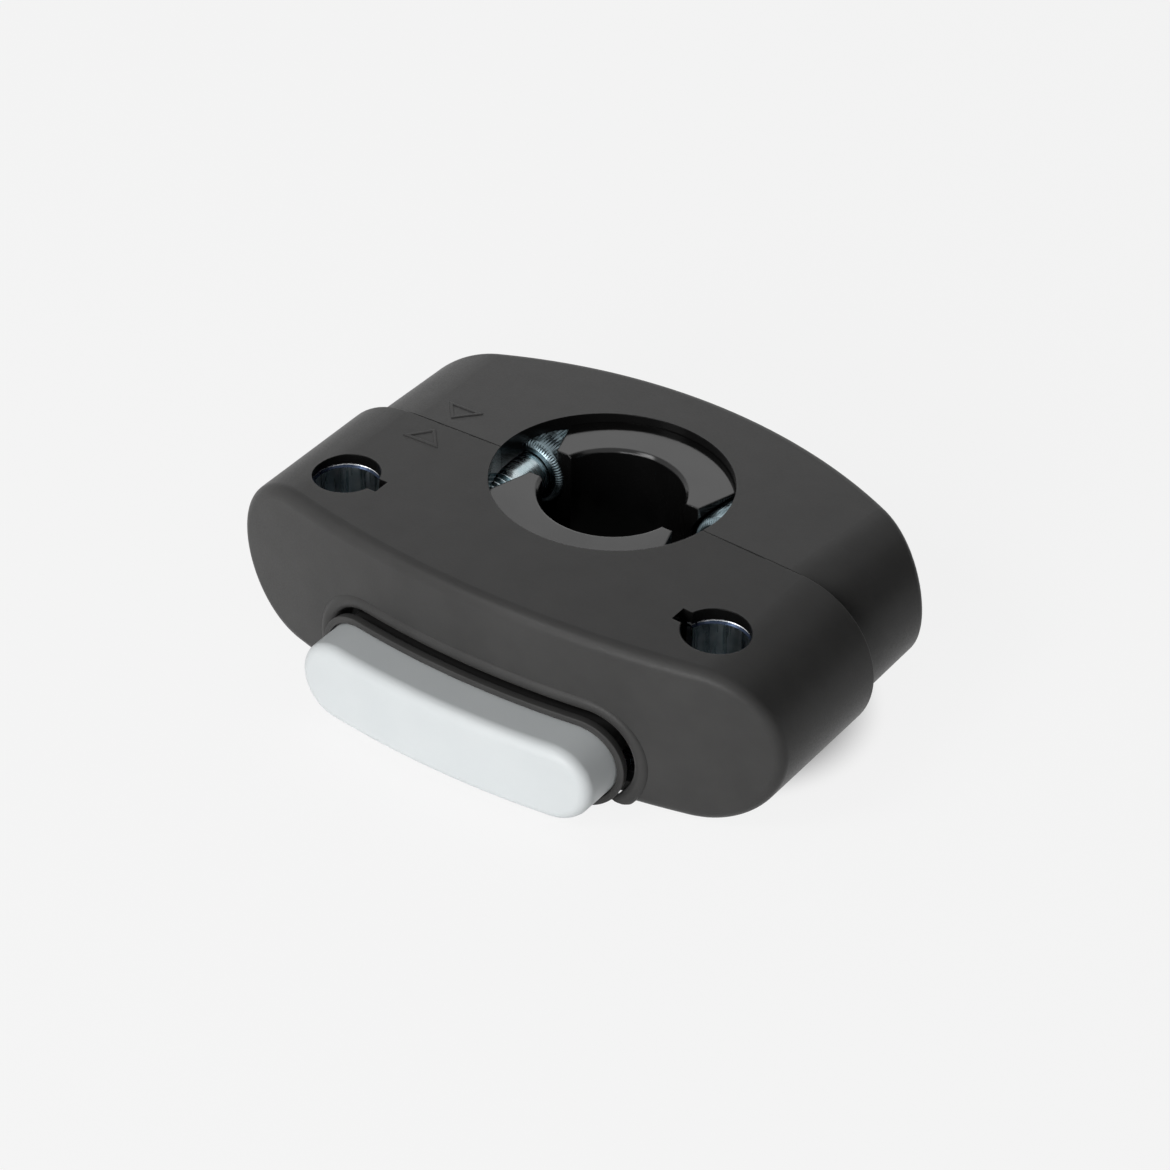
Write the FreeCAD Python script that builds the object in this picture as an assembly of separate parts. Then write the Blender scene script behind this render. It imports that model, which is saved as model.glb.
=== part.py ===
import FreeCAD, Part
import math
import os

# Bicycle basket adapter: a two-jaw clamp for a handlebar stem. The wide front jaw takes the two prongs of a
# basket in upright sockets and lets them go when the grey button on its face is pressed. Two bolts close the
# rear jaw on the stem through a pair of reducing inserts.
# Frame: millimetres, origin on the bore axis at half height, +Z up along the bore, -Y out of the button.

# Jaws
body_height = 30.0
crown_radius = 830.0
front_half_width = 52.7
front_reach = 39.0
front_face_radius = 149.0
front_edge_radius = 2.1
split_edge_radius = 0.3
rear_half_width = 50.2
rear_reach = 30.6
rear_end_height = 26.0
rear_face_radius = 91.0
rear_edge_radius = 1.8
split_offset = 3.2
wall = 2.5

# Bore and reducing inserts
tube_diameter = 23.8
seat_diameter = 40.0
insert_gap = 0.05
insert_drop = 2.9
insert_rib_width = 4.0
insert_rib_depth = 1.2
insert_rear_end = 4.3
insert_front_end = 3.2
insert_end_land = 2.0
insert_flat_tilt = 18.0
insert_rim_chamfer = 0.5

# Clamp bolts
bolt_diameter = 8.0
bolt_length = 45.0
bolt_spacing = 38.0
bolt_height = 5.9
bolt_head_diameter = 12.0
bolt_head_length = 8.0
bolt_hex = 6.0
bolt_hex_depth = 4.5
bolt_head_seat = 18.6
bolt_running_gap = 0.1
bolt_passage_gap = 0.3
bolt_end_room = 1.5
counterbore_gap = 0.2
sleeve_diameter = 12.0
sleeve_front_end = 4.0
sleeve_chamfer = 1.0
sleeve_relief = 0.5
nut_width = 13.0
nut_thickness = 6.5
nut_front_end = 24.5
nut_pocket_gap = 0.1

# Basket sockets
socket_spacing = 71.6
socket_reach = 23.5
socket_diameter = 11.2
socket_sleeve_bore = 10.9
socket_sleeve_wall = 1.25
socket_sleeve_drop = 2.7
socket_sleeve_chamfer = 0.7
key_width = 3.2
key_depth = 1.5

# Button
button_length = 56.0
button_height = 13.85
button_corner = 6.9
button_lift = 0.4
button_front_stand = 9.7
button_edge_radius = 2.0
button_wall = 2.2
button_fit = 0.15
button_gap = 0.3
button_recess = 0.8
button_travel = 3.0
carrier_stand = 2.4
carrier_flange = 1.4
carrier_rim = 0.7
carrier_chin = 1.3
carrier_edge_radius = 0.25
carrier_back = 29.0
carrier_gap = 0.5
slider_length = 52.0
slider_corner = 3.0
slide_ceiling_room = 0.3
opening_gap = 0.8
opening_lip = 1.0
slide_back_room = 0.8

# Latch plate, its screws and springs
latch_thickness = 2.0
latch_lift = 3.9
latch_catch = 2.3
latch_bar = 5.5
latch_arm = 5.6
latch_web = 6.5
latch_corner = 1.0
latch_room = 0.6
latch_screw_spacing = 36.0
latch_screw_diameter = 3.0
latch_screw_head = 5.4
latch_screw_head_height = 1.1
latch_screw_length = 6.0
spring_spacing = 14.0
spring_diameter = 6.0
spring_wire = 0.9
spring_turns = 5.0
spring_depth = 4.5
spring_pocket_gap = 0.4

# Bottom cover
cover_thickness = 2.2
cover_gap = 0.15
cover_ledge = 1.4
cover_half_width = 43.2
cover_rear = 5.6
cover_screw_diameter = 2.5
cover_screw_head = 4.6
cover_screw_length = 8.0
cover_boss = 4.8
cover_rear_screw_spacing = 66.0
cover_rear_screw_reach = 8.2
cover_front_screw_spacing = 62.0
cover_front_screw_reach = 30.2

# Moulded pockets under the rear jaw
core_rib = 1.8
core_ribs_per_bolt = 2
core_floor = 3.0

# Levels and places that follow from the sizes above
top = body_height / 2
bottom = -top
seat_radius = seat_diameter / 2
tube_radius = tube_diameter / 2
insert_radius = seat_radius - insert_gap
insert_top = top - insert_drop
bolt_x = bolt_spacing / 2
bolt_tip = bolt_head_seat - bolt_length
bolt_hole = bolt_diameter / 2 + bolt_running_gap
bolt_passage = bolt_diameter / 2 + bolt_passage_gap
socket_x = socket_spacing / 2
socket_y = -socket_reach
socket_sleeve_radius = socket_sleeve_bore / 2 + socket_sleeve_wall
socket_sleeve_top = top - socket_sleeve_drop
latch_low = bottom + latch_lift
latch_high = latch_low + latch_thickness
latch_ceiling = latch_high + latch_room
cover_top = bottom + cover_thickness
button_low = bottom + button_lift
button_top = button_low + button_height
opening_length = button_length + 2 * (carrier_rim + opening_gap)
opening_top = button_top + carrier_rim + opening_gap
opening_low = button_low - carrier_chin - opening_gap
opening_corner = button_corner + carrier_rim + opening_gap
front_axis_y = front_face_radius - front_reach
carrier_top = button_top - carrier_gap
cover_front_radius = front_face_radius + carrier_stand - carrier_flange - button_travel - carrier_gap
spring_z = (latch_high + carrier_top) / 2
slide_back = -carrier_back + button_travel + slide_back_room
latch_edge = socket_y + socket_sleeve_bore / 2 - latch_catch
far = 2 * (front_half_width + front_reach)


def vec(x, y, z):
    return FreeCAD.Vector(x, y, z)


def block(x0, x1, y0, y1, z0, z1):
    return Part.makeBox(x1 - x0, y1 - y0, z1 - z0, vec(x0, y0, z0))


def post(x, y, radius, z0, z1):
    return Part.makeCylinder(radius, z1 - z0, vec(x, y, z0), vec(0, 0, 1))


def rod(x, z, radius, y0, y1):
    return Part.makeCylinder(radius, y1 - y0, vec(x, y0, z), vec(0, 1, 0))


def cone_y(x, z, radius_0, radius_1, y0, y1):
    return Part.makeCone(radius_0, radius_1, y1 - y0, vec(x, y0, z), vec(0, 1, 0))


def arc(start, middle, end):
    return Part.Arc(start, middle, end).toShape()


def line(start, end):
    return Part.LineSegment(start, end).toShape()


def polygon(points, direction):
    wire = Part.makePolygon(points + [points[0]])
    return Part.Face(wire).extrude(direction)


def edges_on(shape, axis_y, radius):
    """Edges whose points all lie on an upright cylinder about (0, axis_y)."""
    found = []
    for edge in shape.Edges:
        points = edge.discretize(5)
        reach = [math.hypot(p.x, p.y - axis_y) for p in points]
        if max(abs(r - radius) for r in reach) < 1e-4:
            found.append(edge)
    return found


def jaw_outline(half_width, height, inset):
    """Jaw outline across the bike: flat base, crowned top, full round ends."""
    w = half_width - inset
    h = height - 2 * inset
    a = crown_radius - inset
    b = 2 * a - w - h
    r = -b + math.sqrt(b * b - (w * w + h * h - 2 * a * h))
    low = -h / 2
    centre = vec(w - r, 0, low + r)
    crown_centre = vec(0, 0, h / 2 - a)
    reach = centre.sub(crown_centre)
    reach.normalize()
    shoulder = crown_centre.add(reach.multiply(a))
    left = vec(-shoulder.x, 0, shoulder.z)
    return Part.Wire([
        line(vec(r - w, 0, low), vec(w - r, 0, low)),
        arc(vec(w - r, 0, low), vec(w, 0, low + r), shoulder),
        arc(shoulder, vec(0, 0, h / 2), left),
        arc(left, vec(-w, 0, low + r), vec(r - w, 0, low)),
    ])


def front_block(inset=0.0):
    face = Part.Face(jaw_outline(front_half_width, body_height, inset))
    face.translate(vec(0, -split_offset - inset, 0))
    bow = post(0, front_axis_y, front_face_radius - inset, -far, far)
    return face.extrude(vec(0, -far, 0)).common(bow)


def rear_block(inset=0.0):
    """Rear jaw: the same outline, growing lower towards the back."""
    slope = (body_height - rear_end_height) / (rear_reach + split_offset)
    outlines = []
    for y in (inset - split_offset, 2 * rear_reach):
        outline = jaw_outline(rear_half_width, body_height - slope * (y + split_offset), inset)
        outline.translate(vec(0, y, 0))
        outlines.append(outline)
    bow = post(0, rear_reach - rear_face_radius, rear_face_radius - inset, -far, far)
    return Part.makeLoft(outlines, True, True).common(bow)


def slot_prism(length, low, high, corner, y0, y1):
    """Rounded oblong, length along X and low to high in Z, running from y0 to y1."""
    half = length / 2
    c = min(corner, half, (high - low) / 2)
    k = c * (1 - math.sqrt(0.5))
    edges = []
    corners = [(1, 1), (-1, 1), (-1, -1), (1, -1)]
    starts = []
    for sx, sz in corners:
        x = sx * half
        z = high if sz > 0 else low
        on_side = vec(x, y0, z - sz * c)
        on_top = vec(x - sx * c, y0, z)
        middle = vec(x - sx * k, y0, z - sz * k)
        first, last = (on_side, on_top) if sx * sz > 0 else (on_top, on_side)
        starts.append((first, middle, last))
    for i, (first, middle, last) in enumerate(starts):
        edges.append(arc(first, middle, last))
        following = starts[(i + 1) % 4][0]
        if last.distanceToPoint(following) > 1e-6:
            edges.append(line(last, following))
    return Part.Face(Part.Wire(edges)).extrude(vec(0, y1 - y0, 0))


def bowed(stand_out, stand_in):
    """Curved slice of space in front of the face, between two distances from it."""
    outer = post(0, front_axis_y, front_face_radius + stand_out, -far, far)
    return outer.cut(post(0, front_axis_y, front_face_radius + stand_in, -far, far))


def seat():
    """Bore of both jaws, with the groove that holds the rib of an insert."""
    bore = post(0, 0, seat_radius, bottom - 1, top + 1)
    half = insert_rib_width / 2 + insert_gap
    return bore.fuse(post(0, 0, seat_radius + insert_rib_depth, -half, half))


def cover_plan(shrink, z0, z1):
    """Space of the bottom cover in plan, ending behind the pressed button."""
    side = cover_half_width - shrink
    plate = block(-side, side, -far, -cover_rear - shrink, z0, z1)
    plate = plate.common(post(0, front_axis_y, cover_front_radius - shrink, z0, z1))
    return plate.cut(post(0, 0, seat_radius + wall + shrink, z0, z1))


def front_screw_places():
    x = cover_front_screw_spacing / 2
    return [(-x, -cover_front_screw_reach), (x, -cover_front_screw_reach)]


def rear_screw_places():
    x = cover_rear_screw_spacing / 2
    return [(-x, -cover_rear_screw_reach), (x, -cover_rear_screw_reach)]


def chamber():
    """Room for the latch plate and the button's carrier inside the front jaw."""
    lower = cover_plan(cover_ledge, bottom - 1, latch_ceiling).common(front_block(wall))
    for x, y in front_screw_places() + rear_screw_places():
        lower = lower.cut(post(x, y, cover_boss / 2, cover_top, top))
    half = slider_length / 2 + carrier_gap
    slide = block(-half, half, -far, slide_back, cover_top, carrier_top + slide_ceiling_room)
    slide = slide.common(front_block(wall))
    return lower.fuse(slide)


def within_opening(edge):
    reach = max(abs(edge.BoundBox.XMin), abs(edge.BoundBox.XMax))
    return reach < opening_length / 2 + 1e-3


def front_housing():
    body = front_block()
    split_rim = [e for e in body.Edges if e.BoundBox.YMin > -split_offset - 1e-3]
    body = body.makeFillet(split_edge_radius, split_rim)
    body = body.makeFillet(front_edge_radius, edges_on(body, front_axis_y, front_face_radius))
    opening = slot_prism(opening_length, opening_low, opening_top, opening_corner, -far, 0)
    pierced = post(0, front_axis_y, front_face_radius, -far, far).cut(opening.common(bowed(far, -2 * wall)))
    lip = [e for e in edges_on(pierced, front_axis_y, front_face_radius) if within_opening(e)]
    body = body.common(pierced.makeFillet(opening_lip, lip))
    body = body.cut(seat())
    body = body.cut(chamber())
    body = body.cut(cover_plan(0, bottom - 1, cover_top))
    for side in (-1, 1):
        x = side * socket_x
        body = body.cut(post(x, socket_y, socket_diameter / 2, bottom - 1, top + 1))
        body = body.cut(post(x, socket_y, socket_sleeve_radius, bottom - 1, socket_sleeve_top))
        body = body.cut(key_slot(side, socket_diameter / 2, latch_ceiling, top + 1))
        x = side * bolt_x
        body = body.cut(rod(x, bolt_height, bolt_passage, bolt_tip - bolt_end_room, 0))
        half = nut_width / 2 + nut_pocket_gap
        front = -nut_front_end - nut_pocket_gap
        back = -nut_front_end + nut_thickness + nut_pocket_gap
        body = body.cut(block(x - half, x + half, front, back, cover_top - 1, bolt_height + half))
        x = side * spring_spacing / 2
        radius = spring_diameter / 2 + spring_pocket_gap
        body = body.cut(rod(x, spring_z, radius, slide_back - 1, spring_back()))
    for x, y in front_screw_places() + rear_screw_places():
        body = body.cut(post(x, y, cover_screw_diameter / 2, cover_top - 1, bottom + cover_screw_length + 1))
    return body


def spring_back():
    """Far end of the spring pockets, one wall in front of the bore."""
    x = spring_spacing / 2
    return -math.sqrt((seat_radius + insert_rib_depth + wall / 2) ** 2 - x * x)


def key_slot(side, radius, z0, z1):
    """Keyway on the inner side of a socket, for the rib of a prong."""
    x = side * socket_x
    reach = x - side * (radius + key_depth)
    half = key_width / 2
    return block(min(x, reach), max(x, reach), socket_y - half, socket_y + half, z0, z1)


def bottom_cover():
    plate = front_block().common(cover_plan(cover_gap, bottom - 1, cover_top))
    for side in (-1, 1):
        plate = plate.cut(post(side * socket_x, socket_y, socket_diameter / 2, bottom - 1, top))
    for x, y in front_screw_places() + rear_screw_places():
        plate = plate.cut(cover_screw(x, y, cover_gap / 2))
    return plate


def cover_screw(x, y, ease=0.0):
    """Countersunk screw driven up through the cover."""
    head = cover_screw_head / 2 + ease
    shank = cover_screw_diameter / 2 + ease
    low = bottom + cover_thickness / 3
    sink = (cover_screw_head - cover_screw_diameter) / 2
    cone = Part.makeCone(head, shank, sink, vec(x, y, low), vec(0, 0, 1))
    screw = cone.fuse(post(x, y, shank, low + sink, bottom + cover_screw_length))
    if ease > 0:
        return screw.fuse(post(x, y, head, bottom - 1, low))
    return screw


def cover_screws():
    return Part.makeCompound([cover_screw(x, y) for x, y in front_screw_places() + rear_screw_places()])


def button_cap():
    outline = slot_prism(button_length, button_low, button_top, button_corner, -far, 0)
    back = carrier_stand - button_recess
    cap = outline.common(bowed(button_front_stand, back))
    front = edges_on(cap, front_axis_y, front_face_radius + button_front_stand)
    cap = cap.makeFillet(button_edge_radius, front)
    inner = slot_prism(button_length - 2 * button_wall, button_low + button_wall, button_top - button_wall,
                       button_corner - button_wall, -far, 0)
    return cap.cut(inner.common(bowed(button_front_stand - button_wall, back)))


def button_carrier():
    flange = slot_prism(button_length + 2 * carrier_rim, button_low - carrier_chin, button_top + carrier_rim,
                        button_corner + carrier_rim, -far, 0)
    flange = flange.common(bowed(carrier_stand, carrier_stand - carrier_flange))
    for stand in (carrier_stand, carrier_stand - carrier_flange):
        rim = edges_on(flange, front_axis_y, front_face_radius + stand)
        flange = flange.makeFillet(carrier_edge_radius, rim)
    floor = carrier_stand - button_recess
    recess = slot_prism(button_length + 2 * button_gap, button_low - button_gap, button_top + button_gap,
                        button_corner + button_gap, -far, 0)
    flange = flange.cut(recess.common(bowed(carrier_stand + 1, floor)))
    inset = button_wall + button_fit
    boss = slot_prism(button_length - 2 * inset, button_low + inset, button_top - inset,
                      button_corner - inset, -far, 0)
    boss = boss.common(bowed(button_front_stand - inset, floor))
    slider = slot_prism(slider_length, latch_high, carrier_top, slider_corner, -far, -carrier_back)
    slider = slider.common(bowed(carrier_stand - carrier_flange, -far / 2))
    carrier = flange.fuse(boss).fuse(slider).removeSplitter()
    for side in (-1, 1):
        x = side * spring_spacing / 2
        radius = spring_diameter / 2 + spring_pocket_gap
        carrier = carrier.cut(rod(x, spring_z, radius, -carrier_back - spring_depth, -carrier_back + 1))
        x = side * latch_screw_spacing / 2
        y = latch_screw_y()
        carrier = carrier.cut(post(x, y, latch_screw_diameter / 2, latch_high - 1, latch_screw_tip()))
    return carrier


def latch_screw_y():
    return -carrier_back - latch_web / 2


def latch_screw_tip():
    return latch_low + latch_screw_length


def latch_plate():
    """Flat steel plate: a web below the carrier and a hooked arm behind each socket."""
    web_back = -carrier_back
    web_front = web_back - latch_web
    bar_back = latch_edge + latch_bar
    key_inner = socket_x - socket_diameter / 2 - key_depth - carrier_gap
    arm_inner = key_inner - latch_arm
    tip = socket_x + socket_sleeve_bore / 2
    right = [(slider_length / 2, web_front), (key_inner, web_back), (key_inner, latch_edge),
             (tip, latch_edge), (tip, bar_back), (arm_inner, bar_back), (arm_inner, web_back)]
    left = [(-x, y) for x, y in reversed(right)]
    plate = polygon([vec(x, y, latch_low) for x, y in right + left], vec(0, 0, latch_thickness))
    upright = [e for e in plate.Edges if e.BoundBox.ZLength > latch_thickness / 2]
    plate = plate.makeFillet(latch_corner, upright)
    for side in (-1, 1):
        x = side * latch_screw_spacing / 2
        plate = plate.cut(post(x, latch_screw_y(), latch_screw_diameter / 2, latch_low - 1, top))
    return plate


def latch_screws():
    screws = []
    for side in (-1, 1):
        x = side * latch_screw_spacing / 2
        y = latch_screw_y()
        head = post(x, y, latch_screw_head / 2, latch_low - latch_screw_head_height, latch_low)
        head = head.makeFillet(latch_screw_head_height / 2, [head.Edges[2]])
        screws.append(head.fuse(post(x, y, latch_screw_diameter / 2, latch_low, latch_screw_tip())))
    return Part.makeCompound(screws)


def latch_spring(side):
    """Compression spring between the carrier and the wall of the bore."""
    front = -carrier_back - spring_depth
    length = spring_back() - front
    radius = (spring_diameter - spring_wire) / 2
    pitch = (length - spring_wire) / spring_turns
    helix = Part.makeHelix(pitch, length - spring_wire, radius)
    section = Part.Wire(Part.Circle(vec(radius, 0, 0), vec(0, 1, 0), spring_wire / 2).toShape())
    coil = Part.Wire(helix).makePipeShell([section], True, True)
    coil.rotate(vec(0, 0, 0), vec(1, 0, 0), -90)
    coil.translate(vec(side * spring_spacing / 2, front + spring_wire / 2, spring_z))
    return coil


def socket_sleeve(side):
    """Steel liner of a socket, with a chamfered mouth and a keyway."""
    x = side * socket_x
    bore = socket_sleeve_bore / 2
    tube = post(x, socket_y, socket_sleeve_radius - insert_gap, latch_ceiling, socket_sleeve_top)
    tube = tube.cut(post(x, socket_y, bore, latch_ceiling - 1, socket_sleeve_top + 1))
    mouth = Part.makeCone(bore, bore + socket_sleeve_chamfer, socket_sleeve_chamfer,
                          vec(x, socket_y, socket_sleeve_top - socket_sleeve_chamfer), vec(0, 0, 1))
    return tube.cut(mouth).cut(key_slot(side, bore, latch_ceiling - 1, socket_sleeve_top + 1))


def clamp_nut(side):
    x = side * bolt_x
    half = nut_width / 2
    back = -nut_front_end + nut_thickness
    nut = block(x - half, x + half, -nut_front_end, back, bolt_height - half, bolt_height + half)
    return nut.cut(rod(x, bolt_height, bolt_hole, -nut_front_end - 1, back + 1))


def insert(sign, end):
    """Half of the reducer: a glossy C whose flats pass the clamp bolts. The sign is +1 for the rear one."""
    ring = post(0, 0, insert_radius, -insert_top, insert_top)
    half = insert_rib_width / 2
    ring = ring.fuse(post(0, 0, insert_radius + insert_rib_depth, -half, half))
    ring = ring.cut(post(0, 0, tube_radius, -top, top))
    depth = insert_rim_chamfer
    for level, direction in ((insert_top, -1), (-insert_top, 1)):
        rim = Part.makeCone(tube_radius + depth, tube_radius, depth, vec(0, 0, level), vec(0, 0, direction))
        ring = ring.cut(rim)
    lean = math.tan(math.radians(insert_flat_tilt))
    inner = tube_radius + insert_end_land
    outer = inner + lean * (far - end)
    plan = [vec(-inner, sign * end, -top), vec(inner, sign * end, -top),
            vec(outer, sign * far, -top), vec(-outer, sign * far, -top)]
    ring = ring.common(polygon(plan, vec(0, 0, 2 * top)))
    for side in (-1, 1):
        relief = (sleeve_diameter if sign > 0 else bolt_diameter) / 2 + sleeve_relief
        ring = ring.cut(rod(side * bolt_x, bolt_height, relief, -far, far))
    return ring


def core_pockets():
    """Pockets moulded into the underside of the rear jaw, parted by ribs."""
    space = rear_block(wall).common(block(-far, far, -far, far, bottom - far, top - core_floor))
    bow = post(0, rear_reach - rear_face_radius, rear_face_radius - wall, -far, far)
    below = block(-far, far, -split_offset + wall, far, bottom - 1, 0).common(bow)
    limit = rear_half_width - body_height / 2
    space = space.fuse(below.common(block(-limit, limit, -far, far, -far, far))).removeSplitter()
    space = space.cut(post(0, 0, seat_radius + insert_rib_depth + wall / 2, -far, far))
    tunnel = bolt_head_diameter / 2 + counterbore_gap + wall / 2
    for side in (-1, 1):
        x = side * bolt_x
        space = space.cut(block(x - tunnel, x + tunnel, -far, far, bolt_height - tunnel, top))
    pitch = bolt_x / core_ribs_per_bolt
    count = int(rear_half_width / pitch)
    for i in range(-count, count + 1):
        x = i * pitch
        space = space.cut(block(x - core_rib / 2, x + core_rib / 2, -far, far, bottom - 1, top))
    middle = (rear_reach - split_offset) / 2
    return space.cut(block(-far, far, middle - core_rib / 2, middle + core_rib / 2, bottom - 1, top))


def rear_jaw():
    body = rear_block()
    rim = edges_on(body, rear_reach - rear_face_radius, rear_face_radius)
    body = body.makeFillet(rear_edge_radius, rim)
    body = body.cut(core_pockets())
    body = body.cut(seat())
    for side in (-1, 1):
        x = side * bolt_x
        body = body.cut(rod(x, bolt_height, bolt_passage, -split_offset - 1, far))
        body = body.cut(rod(x, bolt_height, sleeve_diameter / 2, sleeve_front_end - 1, bolt_head_seat))
        head = bolt_head_diameter / 2 + counterbore_gap
        body = body.cut(rod(x, bolt_height, head, bolt_head_seat, far))
    return body


def bolt_sleeve(side):
    """Knurled steel bush moulded into the rear jaw, round the clamp bolt."""
    x = side * bolt_x
    radius = sleeve_diameter / 2 - insert_gap
    nose = sleeve_front_end + sleeve_chamfer
    bush = rod(x, bolt_height, radius, nose, bolt_head_seat)
    bush = bush.fuse(cone_y(x, bolt_height, radius - sleeve_chamfer, radius, sleeve_front_end, nose))
    return bush.cut(rod(x, bolt_height, bolt_hole, sleeve_front_end - 1, bolt_head_seat + 1))


def clamp_bolt(side):
    """Socket head bolt, put in from the back."""
    x = side * bolt_x
    radius = bolt_diameter / 2
    point = radius / 4
    shank = rod(x, bolt_height, radius, bolt_tip + point, bolt_head_seat)
    tip = cone_y(x, bolt_height, radius - point, radius, bolt_tip, bolt_tip + point)
    head_end = bolt_head_seat + bolt_head_length
    head = rod(x, bolt_height, bolt_head_diameter / 2, bolt_head_seat + bolt_running_gap, head_end)
    rim = [e for e in head.Edges if e.BoundBox.YMin > head_end - 1e-3]
    head = head.makeChamfer(bolt_running_gap * 8, rim)
    corner = bolt_hex / math.sqrt(3)
    hexagon = []
    for i in range(6):
        angle = math.radians(60 * i)
        hexagon.append(vec(x + corner * math.cos(angle), head_end, bolt_height + corner * math.sin(angle)))
    recess = polygon(hexagon, vec(0, -bolt_hex_depth, 0))
    core = rod(x, bolt_height, radius, bolt_head_seat - point, head_end)
    return shank.fuse(tip).fuse(core).fuse(head).cut(recess)


def single(shape):
    """The one solid of a shape, with needless seams between its faces removed."""
    return shape.removeSplitter()


parts = {
    "front_housing": single(front_housing()),
    "bottom_cover": single(bottom_cover()),
    "cover_screws": cover_screws(),
    "button_cap": single(button_cap()),
    "button_carrier": single(button_carrier()),
    "latch_plate": single(latch_plate()),
    "latch_screws": latch_screws(),
    "front_insert": single(insert(-1, insert_front_end)),
    "rear_insert": single(insert(1, insert_rear_end)),
    "rear_jaw": single(rear_jaw()),
}
for name, side in (("left", -1), ("right", 1)):
    parts["latch_spring_" + name] = latch_spring(side)
    parts["socket_sleeve_" + name] = single(socket_sleeve(side))
    parts["clamp_nut_" + name] = single(clamp_nut(side))
    parts["bolt_sleeve_" + name] = single(bolt_sleeve(side))
    parts["clamp_bolt_" + name] = single(clamp_bolt(side))

os.makedirs("parts", exist_ok=True)
for name, shape in parts.items():
    shape.exportStep("parts/" + name + ".step")
    box = shape.BoundBox
    print(name, len(shape.Solids), "solid", shape.isValid(), round(shape.Volume, 1),
          [round(c, 2) for c in (box.XMin, box.XMax, box.YMin, box.YMax, box.ZMin, box.ZMax)])
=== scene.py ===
import math

import bpy
from mathutils import Matrix, Vector


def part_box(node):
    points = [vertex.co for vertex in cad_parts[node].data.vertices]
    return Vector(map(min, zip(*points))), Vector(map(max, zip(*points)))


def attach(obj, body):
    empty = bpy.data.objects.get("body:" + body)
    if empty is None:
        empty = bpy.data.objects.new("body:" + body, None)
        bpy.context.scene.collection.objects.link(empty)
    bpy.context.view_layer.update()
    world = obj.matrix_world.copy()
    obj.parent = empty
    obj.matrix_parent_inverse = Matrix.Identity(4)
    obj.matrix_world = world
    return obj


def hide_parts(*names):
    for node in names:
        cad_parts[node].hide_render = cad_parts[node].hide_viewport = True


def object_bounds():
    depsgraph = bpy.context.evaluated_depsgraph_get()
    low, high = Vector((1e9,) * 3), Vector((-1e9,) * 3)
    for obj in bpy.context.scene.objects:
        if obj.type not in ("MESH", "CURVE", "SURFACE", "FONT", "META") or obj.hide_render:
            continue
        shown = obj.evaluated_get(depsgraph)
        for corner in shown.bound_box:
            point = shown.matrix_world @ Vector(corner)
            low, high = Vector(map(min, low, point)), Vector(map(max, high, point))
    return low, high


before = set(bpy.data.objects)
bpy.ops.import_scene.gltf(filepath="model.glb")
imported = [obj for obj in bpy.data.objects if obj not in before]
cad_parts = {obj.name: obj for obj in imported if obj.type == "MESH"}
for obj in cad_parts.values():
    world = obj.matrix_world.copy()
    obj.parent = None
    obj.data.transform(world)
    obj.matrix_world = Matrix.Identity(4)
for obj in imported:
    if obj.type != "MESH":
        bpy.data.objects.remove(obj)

cad_low, cad_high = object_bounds()


# Jaws, bottom cover and button carrier: glass-filled nylon, moulded in a tool with a fine spark-eroded skin.
# The skin is charcoal and nearly matt, with a grain of about a quarter of a millimetre. The walls of the
# seat, the sockets and their keyways come off polished core pins, so they are smooth; their near black is
# painted shade, put into the colour where these bores lie deep in shadow.
charcoal_dark = (0.0460, 0.0455, 0.0449, 1)
charcoal_light = (0.0530, 0.0525, 0.0517, 1)
charcoal_patch_scale = 140
charcoal_specular = 0.14
skin_grain_scale = 3600
skin_grain_depth = 0.00004
skin_grain_strength = 0.3
skin_smooth = 0.34
skin_rough = 0.48
skin_edge_radius = 0.0002
painted_bore_shade = 0.005
bore_roughness = 0.20
seat_radius = 0.02006
socket_place = (0.0358, -0.0235, 0)
socket_radius = 0.00572
keyway_end = 0.02868
keyway_half_width = 0.00162


def new_material(name):
    material = bpy.data.materials.new(name)
    material.use_nodes = True
    nodes = material.node_tree.nodes
    return material, nodes, material.node_tree.links, nodes["Principled BSDF"]


def noise_on_object(nodes, links, scale, detail, stretch=(1, 1, 1)):
    place = nodes.new("ShaderNodeTexCoord")
    mapping = nodes.new("ShaderNodeMapping")
    mapping.inputs["Scale"].default_value = stretch
    noise = nodes.new("ShaderNodeTexNoise")
    noise.inputs["Scale"].default_value = scale
    noise.inputs["Detail"].default_value = detail
    links.new(place.outputs["Object"], mapping.inputs["Vector"])
    links.new(mapping.outputs["Vector"], noise.inputs["Vector"])
    return noise.outputs["Fac"]


def ramp_between(nodes, links, pattern, low, high):
    ramp = nodes.new("ShaderNodeValToRGB")
    ramp.color_ramp.elements[0].position = 0.3
    ramp.color_ramp.elements[0].color = low
    ramp.color_ramp.elements[1].position = 0.7
    ramp.color_ramp.elements[1].color = high
    links.new(pattern, ramp.inputs["Fac"])
    return ramp.outputs["Color"]


def bump_from(nodes, links, pattern, depth, strength, shader):
    bump = nodes.new("ShaderNodeBump")
    bump.inputs["Distance"].default_value = depth
    bump.inputs["Strength"].default_value = strength
    links.new(pattern, bump.inputs["Height"])
    links.new(bump.outputs["Normal"], shader.inputs["Normal"])
    return bump


def soften_edges(nodes, links, bump, radius):
    soft = nodes.new("ShaderNodeBevel")
    soft.samples = 6
    soft.inputs["Radius"].default_value = radius
    links.new(soft.outputs["Normal"], bump.inputs["Normal"])


def grey(level):
    return (level, level, level, 1)


def object_axes(nodes, links):
    place = nodes.new("ShaderNodeTexCoord")
    axes = nodes.new("ShaderNodeSeparateXYZ")
    links.new(place.outputs["Object"], axes.inputs["Vector"])
    return axes


def reckon(nodes, links, operation, first, second):
    step = nodes.new("ShaderNodeMath")
    step.operation = operation
    links.new(first, step.inputs[0])
    if isinstance(second, float):
        step.inputs[1].default_value = second
    else:
        links.new(second, step.inputs[1])
    return step.outputs[0]


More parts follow.
